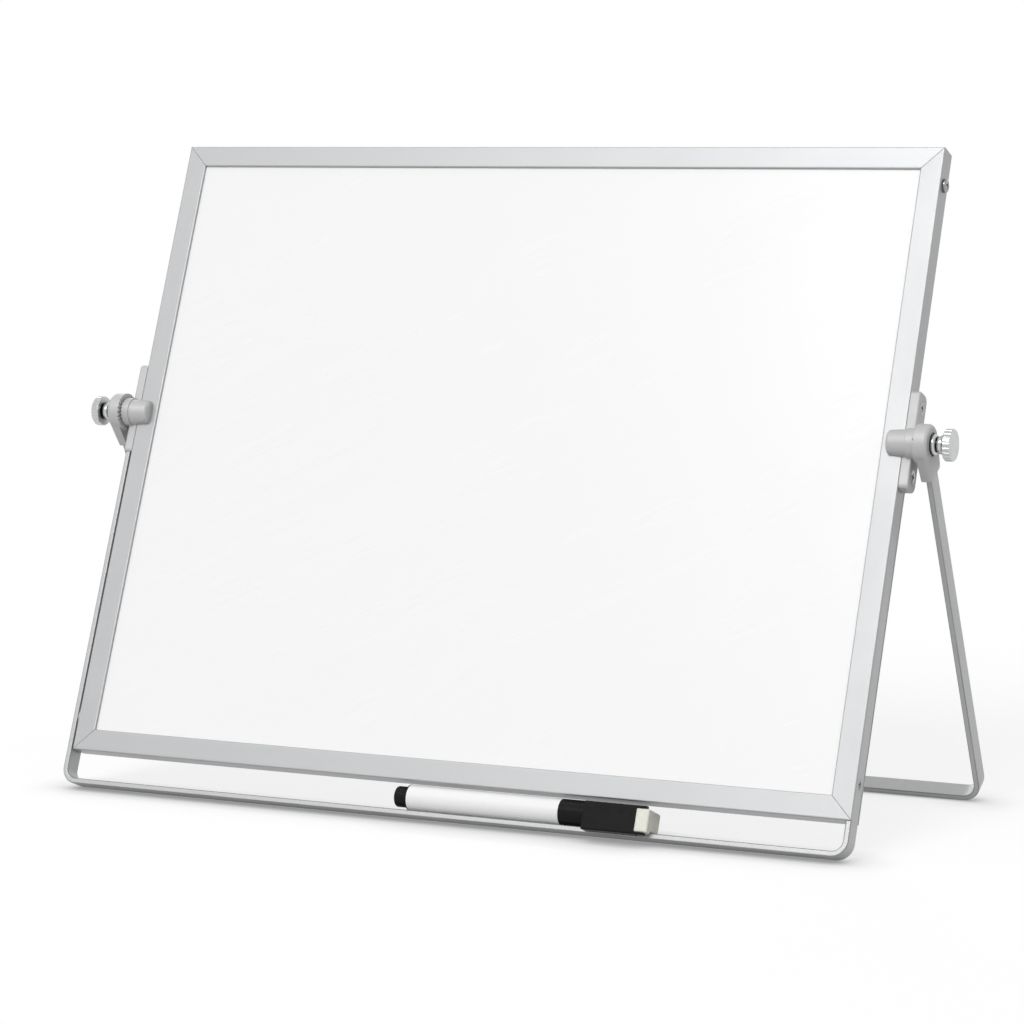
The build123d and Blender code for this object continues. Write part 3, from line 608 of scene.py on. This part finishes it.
# --- shapes -----------------------------------------------------------------------------------------
def rounded_outline(points, corners, radius):
    """Points round an outline of right angles, their outward directions, and how far along its run each lies.

    The outline is walked by length, with its inside on the left. The heading holds along a run and turns
    evenly through a quarter in a corner, to the left at an outer corner and to the right at an inner one.
    A point is the sum of the small steps before it. The last value is 0 at a run's ends and 1 at its middle.
    """
    runs = np.roll(corners, -1, axis=0) - corners
    lengths = np.linalg.norm(runs, axis=1)
    ahead = runs / lengths[:, None]
    after = np.roll(ahead, -1, axis=0)
    turns = (ahead[:, 0] * after[:, 1] - ahead[:, 1] * after[:, 0]) * QUARTER
    walks = np.stack([lengths - 2 * radius, np.full(len(corners), QUARTER * radius)], 1).ravel()
    ends = np.concatenate([[0.0], np.cumsum(walks)])
    first = math.atan2(ahead[0, 1], ahead[0, 0])
    turned = np.cumsum(turns)
    headings = first + np.concatenate([[0.0], np.stack([turned - turns, turned], 1).ravel()])
    fine = np.linspace(0.0, ends[-1], SMALL_STEPS + 1)
    middle = np.interp((fine[1:] + fine[:-1]) / 2, ends, headings)
    steps = np.stack([np.cos(middle), np.sin(middle)], 1) * fine[1]
    track = corners[0] + ahead[0] * radius + np.concatenate([[[0.0, 0.0]], np.cumsum(steps, axis=0)])
    walked = np.linspace(0.0, ends[-1], points, endpoint=False)
    heading = np.interp(walked, ends, headings)
    reach = np.stack([np.interp(walked, fine, track[:, 0]), np.interp(walked, fine, track[:, 1])], 1)
    phase = np.interp(walked, ends, (np.arange(len(ends)) + 1) // 2 * math.pi)
    return reach, np.stack([np.sin(heading), -np.cos(heading)], 1), np.abs(np.sin(phase))


def uneven(points, pitch, seed):
    """A soft random field: the mean of many waves, each with its own direction, near one pitch."""
    draw = np.random.default_rng(seed)
    waves = 48
    lie = draw.normal(size=(waves, 3))
    lie /= np.linalg.norm(lie, axis=1)[:, None]
    rate = 2 * math.pi / (pitch * draw.uniform(0.5, 1.8, waves))
    start = draw.uniform(0.0, 2 * math.pi, waves)
    return np.sin(points @ lie.T * rate + start).sum(1) / math.sqrt(waves / 2)


def tube_faces(rows, columns):
    """The quads of a closed tube of rows rings, each of columns points."""
    ring, spot = np.meshgrid(np.arange(rows - 1), np.arange(columns), indexing="ij")
    after = (spot + 1) % columns
    corners = [ring * columns + spot, ring * columns + after, (ring + 1) * columns + after,
               (ring + 1) * columns + spot]
    return np.stack(corners, -1).reshape(-1, 4)


def new_piece(name, points, faces, material, body):
    """A smooth mesh from point and face arrays that rides on a body."""
    mesh = bpy.data.meshes.new(name)
    mesh.from_pydata(points.tolist(), [], faces)
    mesh.polygons.foreach_set("use_smooth", np.ones(len(mesh.polygons), bool))
    mesh.materials.append(material)
    mesh.update()
    piece = bpy.data.objects.new(name, mesh)
    bpy.context.scene.collection.objects.link(piece)
    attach(piece, body)
    return piece


def felt_block(long_, corners, choice):
    """Points and faces of the eraser's felt, its length along X from 0 and its section round the origin.

    One parameter walks round the rounded outline, the other from the seat to the free end. The outline is
    drawn in by a quarter circle at the end, then shrinks to the origin. The long faces swell by a crown that
    fades to the edges, and the whole surface is moved inwards by an uneven field.
    """
    reach, out, swell = rounded_outline(choice.around, corners, choice.edge)
    run = np.linspace(0.0, 1.0, choice.along)
    bend = np.linspace(0.0, QUARTER, END_RINGS)
    close = np.linspace(1.0, 0.0, CLOSING_RINGS + 1)[1:]
    station = np.concatenate([np.zeros(len(close)), run * (long_ - choice.end),
                              long_ - choice.end * (1 - np.sin(bend[1:])), np.full(len(close), long_)])
    draw_in = np.concatenate([np.zeros(len(close) + choice.along), choice.end * (1 - np.cos(bend[1:])),
                              np.full(len(close), choice.end)])
    shrink = np.concatenate([close[::-1], np.ones(choice.along + len(bend) - 1), close])
    middle = np.sin(station / long_ * math.pi) * (shrink == 1.0)
    flat = (reach[None] - out[None] * draw_in[:, None, None]) * shrink[:, None, None]
    flat = flat + out[None] * (choice.crown * swell[None] * middle[:, None])[..., None]
    along = np.broadcast_to(station[:, None, None], (*flat.shape[:2], 1))
    points = np.concatenate([along, flat], 2).reshape(-1, 3)
    held = np.repeat(np.clip(station / (HELD_SHARE * long_), 0.0, 1.0), choice.around)
    outward = np.concatenate([np.zeros((*flat.shape[:2], 1)), np.broadcast_to(out[None], flat.shape)], 2)
    outward[-len(close):] = (1.0, 0.0, 0.0)
    outward[:len(close)] = (-1.0, 0.0, 0.0)
    fluff = uneven(points, 0.9 * MM, 3) * 0.6 + uneven(points, 0.35 * MM, 4) * 0.4
    points = points - outward.reshape(-1, 3) * (choice.fluff * held * (0.9 - 0.5 * fluff))[:, None]
    return points, tube_faces(len(station), choice.around).tolist()


def stepped_section(spots, inset):
    """The corners of the felt's section, a step cut from its lower back, and the middle of its front part.

    Spots are points of the felt in the board's own axes. The corners go round with the felt on the left,
    drawn in by the inset and counted from that middle.
    """
    into, up = spots[:, 1], spots[:, 2]
    front, back, low, top = into.min(), into.max(), up.min(), up.max()
    step_in = into[up < low + inset].max()
    step_up = up[into > back - inset].min()
    middle = np.array([(front + step_in) / 2, (step_up + top) / 2])
    front, back, step_in = front + inset, back - inset, step_in - inset
    low, top, step_up = low + inset, top - inset, step_up + inset
    corners = [(front, low), (step_in, low), (step_in, step_up), (back, step_up), (back, top), (front, top)]
    return np.array(corners) - middle, middle


# --- operators --------------------------------------------------------------------------------------
class EASEL_OT_frame(bpy.types.Operator):
    """Satin finish on the rails and stiles, bare steel on the keys, bright plating on the screws"""

    bl_idname = "easel.frame"
    bl_label = "Board frame"

    def execute(self, context):
        coat(satin_extrusion("Satin rail", BOARD_TURN), "frame_top_rail", "frame_bottom_rail")
        coat(satin_extrusion("Satin stile", STILE_TURN), "frame_left_stile", "frame_right_stile")
        keys = [name for name in frame["nodes"] if name.startswith(("corner_key", "nut_plate"))]
        coat(bare_metal("Stamped steel", settings().colours.steel, 900.0, 0.35, 0.55), *keys)
        screws = bright_plating("Plated screws", settings().colours.screw, 1.5 * MM)
        coat(screws, "corner_screws", "bracket_screws", "foot_screws")
        return {"FINISHED"}


class EASEL_OT_panel_faces(bpy.types.Operator):
    """White dry-wipe lacquer on both sheets and pressed fibreboard between them"""

    bl_idname = "easel.panel_faces"
    bl_label = "Writing panel"

    def execute(self, context):
        coat(dry_wipe_enamel(), "writing_sheet_front", "writing_sheet_back")
        coat(fibreboard(), "panel_core")
        return {"FINISHED"}


class EASEL_OT_feet(bpy.types.Operator):
    """Silver coating on the two bent bars, nylon on the spacers"""

    bl_idname = "easel.feet"
    bl_label = "Front foot and rear leg"

    def execute(self, context):
        coat(silver_coating("Silver front foot", BOARD_TURN, INTO_BOARD), "front_foot_bar")
        coat(silver_coating("Silver rear leg", LEG_TURN, INTO_LEG), "rear_leg_bar")
        coat(nylon(), "foot_spacers")
        return {"FINISHED"}


class EASEL_OT_pivots(bpy.types.Operator):
    """Grey moulding on brackets and hubs, plating on washers, clamp screws and knobs, brass in the bosses"""

    bl_idname = "easel.pivots"
    bl_label = "Pivots and knobs"

    def execute(self, context):
        coat(grey_moulding("Grey brackets", BOARD_TURN), "pivot_bracket_left", "pivot_bracket_right")
        coat(grey_moulding("Grey hubs", LEG_TURN), "leg_hub_left", "leg_hub_right")
        chrome = settings().colours.chrome
        clamps = bright_plating("Plated clamps", chrome, 3.0 * MM)
        coat(clamps, "clamp_washer_left", "clamp_washer_right", "clamp_screw_left", "clamp_screw_right")
        coat(bright_plating("Plated knobs", chrome, 3.0 * MM, rings=CHROME_RINGS), "knob_left", "knob_right")
        coat(bare_metal("Turned brass", settings().colours.brass, 2200.0, 0.22, 0.36), "threaded_insert_left",
             "threaded_insert_right")
        return {"FINISHED"}


class EASEL_OT_marker(bpy.types.Operator):
    """White barrel, black cap and plug, ink-soaked felt and the cap's nickel magnet"""

    bl_idname = "easel.marker"
    bl_label = "Marker and cap"

    def execute(self, context):
        colours = settings().colours
        coat(glossy_plastic(), "marker_barrel", "marker_nib_holder")
        coat(satin_black(), "marker_plug", "marker_cap")
        coat(felt("Ink felt", colours.ink, 3000.0, 0.02 * MM, 0.1), "marker_reservoir", "marker_nib")
        coat(bare_metal("Nickel plating", colours.nickel, 1500.0, 0.25, 0.38), "cap_magnet")
        return {"FINISHED"}


class EASEL_OT_eraser(bpy.types.Operator):
    """The felt block in the cap's jaw, with rounded edges and a fibrous surface"""

    bl_idname = "easel.eraser"
    bl_label = "Felt eraser"

    def execute(self, context):
        choice = settings().eraser
        turn = np.array(Matrix.Rotation(-BOARD_TILT, 3, "X"))
        spots = np.array([corner.co for corner in frame["nodes"]["cap_eraser"].data.vertices]) @ turn
        corners, middle = stepped_section(spots, choice.crown)
        seat, end = spots[:, 0].min() + choice.tongue, spots[:, 0].max()
        points, faces = felt_block(end - seat, corners, choice)
        points = (points + np.array([seat, *middle])) @ turn.T
        material = felt("Eraser felt", settings().colours.felt, 2400.0, 0.05 * MM, 0.25)
        block = new_piece("eraser_felt_block", points, faces, material, "cap")
        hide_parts("cap_eraser")
        return {"FINISHED"}


class EASEL_OT_stage(bpy.types.Operator):
    """The camera, a pale floor, two large lamps and the light around them"""

    bl_idname = "easel.stage"
    bl_label = "Stage"

    def execute(self, context):
        choice = settings().stage
        stand_camera(context, choice)
        lay_floor(context, choice)
        hang_lamp(context, "Key lamp", choice.key_from, choice.key, choice.lamp_spread)
        hang_lamp(context, "Fill lamp", choice.fill_from, choice.fill, choice.lamp_spread)
        light_surround(context, choice)
        context.scene.view_settings.view_transform = "Standard"
        return {"FINISHED"}


# --- stage ------------------------------------------------------------------------------------------
def stand_camera(context, choice):
    """The camera looks from its eye to the target, rolled about that line."""
    data = bpy.data.cameras.new("Easel camera")
    data.lens = choice.lens
    data.clip_start, data.clip_end = 0.05, 60.0
    ahead = (Vector(choice.target) - Vector(choice.eye)).normalized()
    across = ahead.cross(Vector((0.0, 0.0, 1.0))).normalized()
    above = across.cross(ahead)
    up = above * math.cos(choice.roll) + across * math.sin(choice.roll)
    axes = Matrix((ahead.cross(up), up, -ahead)).transposed()
    camera = bpy.data.objects.new("Easel camera", data)
    camera.matrix_world = Matrix.Translation(choice.eye) @ axes.to_4x4()
    context.scene.collection.objects.link(camera)
    context.scene.camera = camera


def lay_floor(context, choice):
    """A flat square grid at the feet; height is zero for every pair of its two parameters."""
    side = FLOOR_SQUARES + 1
    steps = np.linspace(-0.5, 0.5, side) * choice.floor_size
    across, away = np.meshgrid(steps, steps, indexing="ij")
    points = np.stack([across, away, np.zeros_like(across)], -1).reshape(-1, 3)
    count = np.arange(FLOOR_SQUARES)
    row, column = (n.ravel() for n in np.meshgrid(count, count, indexing="ij"))
    first = row * side + column
    faces = np.stack([first, first + side, first + side + 1, first + 1], -1)
    mesh = bpy.data.meshes.new("floor")
    mesh.from_pydata(points.tolist(), [], faces.tolist())
    mesh.materials.append(pale_floor(choice))
    floor = bpy.data.objects.new("floor", mesh)
    context.scene.collection.objects.link(floor)


def seen_directly(bench):
    """1 for what the camera, a reflection or clear material sees, and 0 for light that bounces."""
    path = bench.add("LightPath").outputs
    glossy = bench.number("MAXIMUM", path["Is Camera Ray"], path["Is Glossy Ray"])
    return bench.number("MAXIMUM", glossy, path["Is Transmission Ray"])


def pale_floor(choice):
    """A pale floor that meets the white surround and keeps the easel's cast shadow; near the feet its glow is
    dimmed by ambient occlusion, a painted contact shadow.
    """
    material = bpy.data.materials.new("Pale floor")
    material.use_nodes = True
    material.node_tree.nodes.clear()
    bench = Bench(material.node_tree)
    pale = bench.add("BsdfDiffuse", {"Color": rgba(choice.floor_colour)})
    # Painted contact shadow: ambient occlusion dims the floor's glow near the feet, down to the under_feet
    # share.
    near = bench.add("AmbientOcclusion", {"Distance": choice.contact}, samples=12)
    glow_left_by_painted_shadow = bench.spread(bench.number("POWER", near.outputs["AO"], 1.5), 0.0, 1.0, choice.under_feet, 1.0)
    lift = bench.number("MULTIPLY", glow_left_by_painted_shadow, choice.floor_white)
    glow = bench.add("Emission", {"Color": WHITE, "Strength": lift})
    white = bench.add("AddShader", {0: pale.outputs[0], 1: glow.outputs[0]})
    bounce = bench.add("BsdfDiffuse", {"Color": FLOOR_BOUNCE})
    both = bench.add("MixShader", {0: seen_directly(bench), 1: bounce.outputs[0], 2: white.outputs[0]})
    bench.add("OutputMaterial", {"Surface": both.outputs[0]})
    return material


def hang_lamp(context, name, towards, level, spread):
    """A distant lamp; level is the share of white it gives to a face that looks straight at it."""
    data = bpy.data.lights.new(name, "SUN")
    data.energy = math.pi * level
    data.angle = spread
    lamp = bpy.data.objects.new(name, data)
    lamp.rotation_mode = "QUATERNION"
    lamp.rotation_quaternion = Vector(towards).to_track_quat("Z", "Y")
    lamp.location = Vector(towards).normalized() * 2.0
    context.scene.collection.objects.link(lamp)


def light_surround(context, choice):
    """White to the eye and in reflections; as light it grows from the dim side to the bright side."""
    world = bpy.data.worlds.new("Studio surround")
    world.use_nodes = True
    world.node_tree.nodes.clear()
    bench = Bench(world.node_tree)
    way = bench.add("TexCoord").outputs["Generated"]
    toward = Vector(choice.sky_from).normalized()
    agree = bench.vector("DOT_PRODUCT", way, tuple(toward), output="Value")
    level = bench.spread(agree, -1.0, 1.0, choice.sky_low, choice.sky_high)
    light = bench.add("Background", {"Color": WHITE, "Strength": level})
    white = bench.add("Background", {"Color": WHITE, "Strength": 1.0})
    both = bench.add("MixShader", {0: seen_directly(bench), 1: light.outputs[0], 2: white.outputs[0]})
    bench.add("OutputWorld", {"Surface": both.outputs[0]})
    context.scene.world = world


# --- panel and registration -------------------------------------------------------------------------
OPERATORS = (EASEL_OT_frame, EASEL_OT_panel_faces, EASEL_OT_feet, EASEL_OT_pivots, EASEL_OT_marker,
             EASEL_OT_eraser, EASEL_OT_stage)


class EASEL_PT_sidebar(bpy.types.Panel):
    """Lists the easel's pieces and settings"""

    bl_label = "Desk Easel"
    bl_idname = "EASEL_PT_sidebar"
    bl_space_type = "VIEW_3D"
    bl_region_type = "UI"
    bl_category = "Easel"

    def draw(self, context):
        for operator in OPERATORS:
            self.layout.operator(operator.bl_idname)
        for group in (context.scene.easel.colours, context.scene.easel.eraser, context.scene.easel.stage):
            box = self.layout.box()
            for name in group.__annotations__:
                box.prop(group, name)


CLASSES = (EaselColours, EaselEraser, EaselStage, EaselSettings, *OPERATORS, EASEL_PT_sidebar)


def register():
    """Adds the classes, and the settings to every scene."""
    for cls in CLASSES:
        bpy.utils.register_class(cls)
    bpy.types.Scene.easel = PointerProperty(type=EaselSettings)


def unregister():
    """Takes away what register added."""
    del bpy.types.Scene.easel
    for cls in reversed(CLASSES):
        bpy.utils.unregister_class(cls)


def main():
    """Makes every piece in order."""
    register()
    bpy.ops.easel.frame()
    bpy.ops.easel.panel_faces()
    bpy.ops.easel.feet()
    bpy.ops.easel.pivots()
    bpy.ops.easel.marker()
    bpy.ops.easel.eraser()
    bpy.ops.easel.stage()


if __name__ == "__main__":
    main()
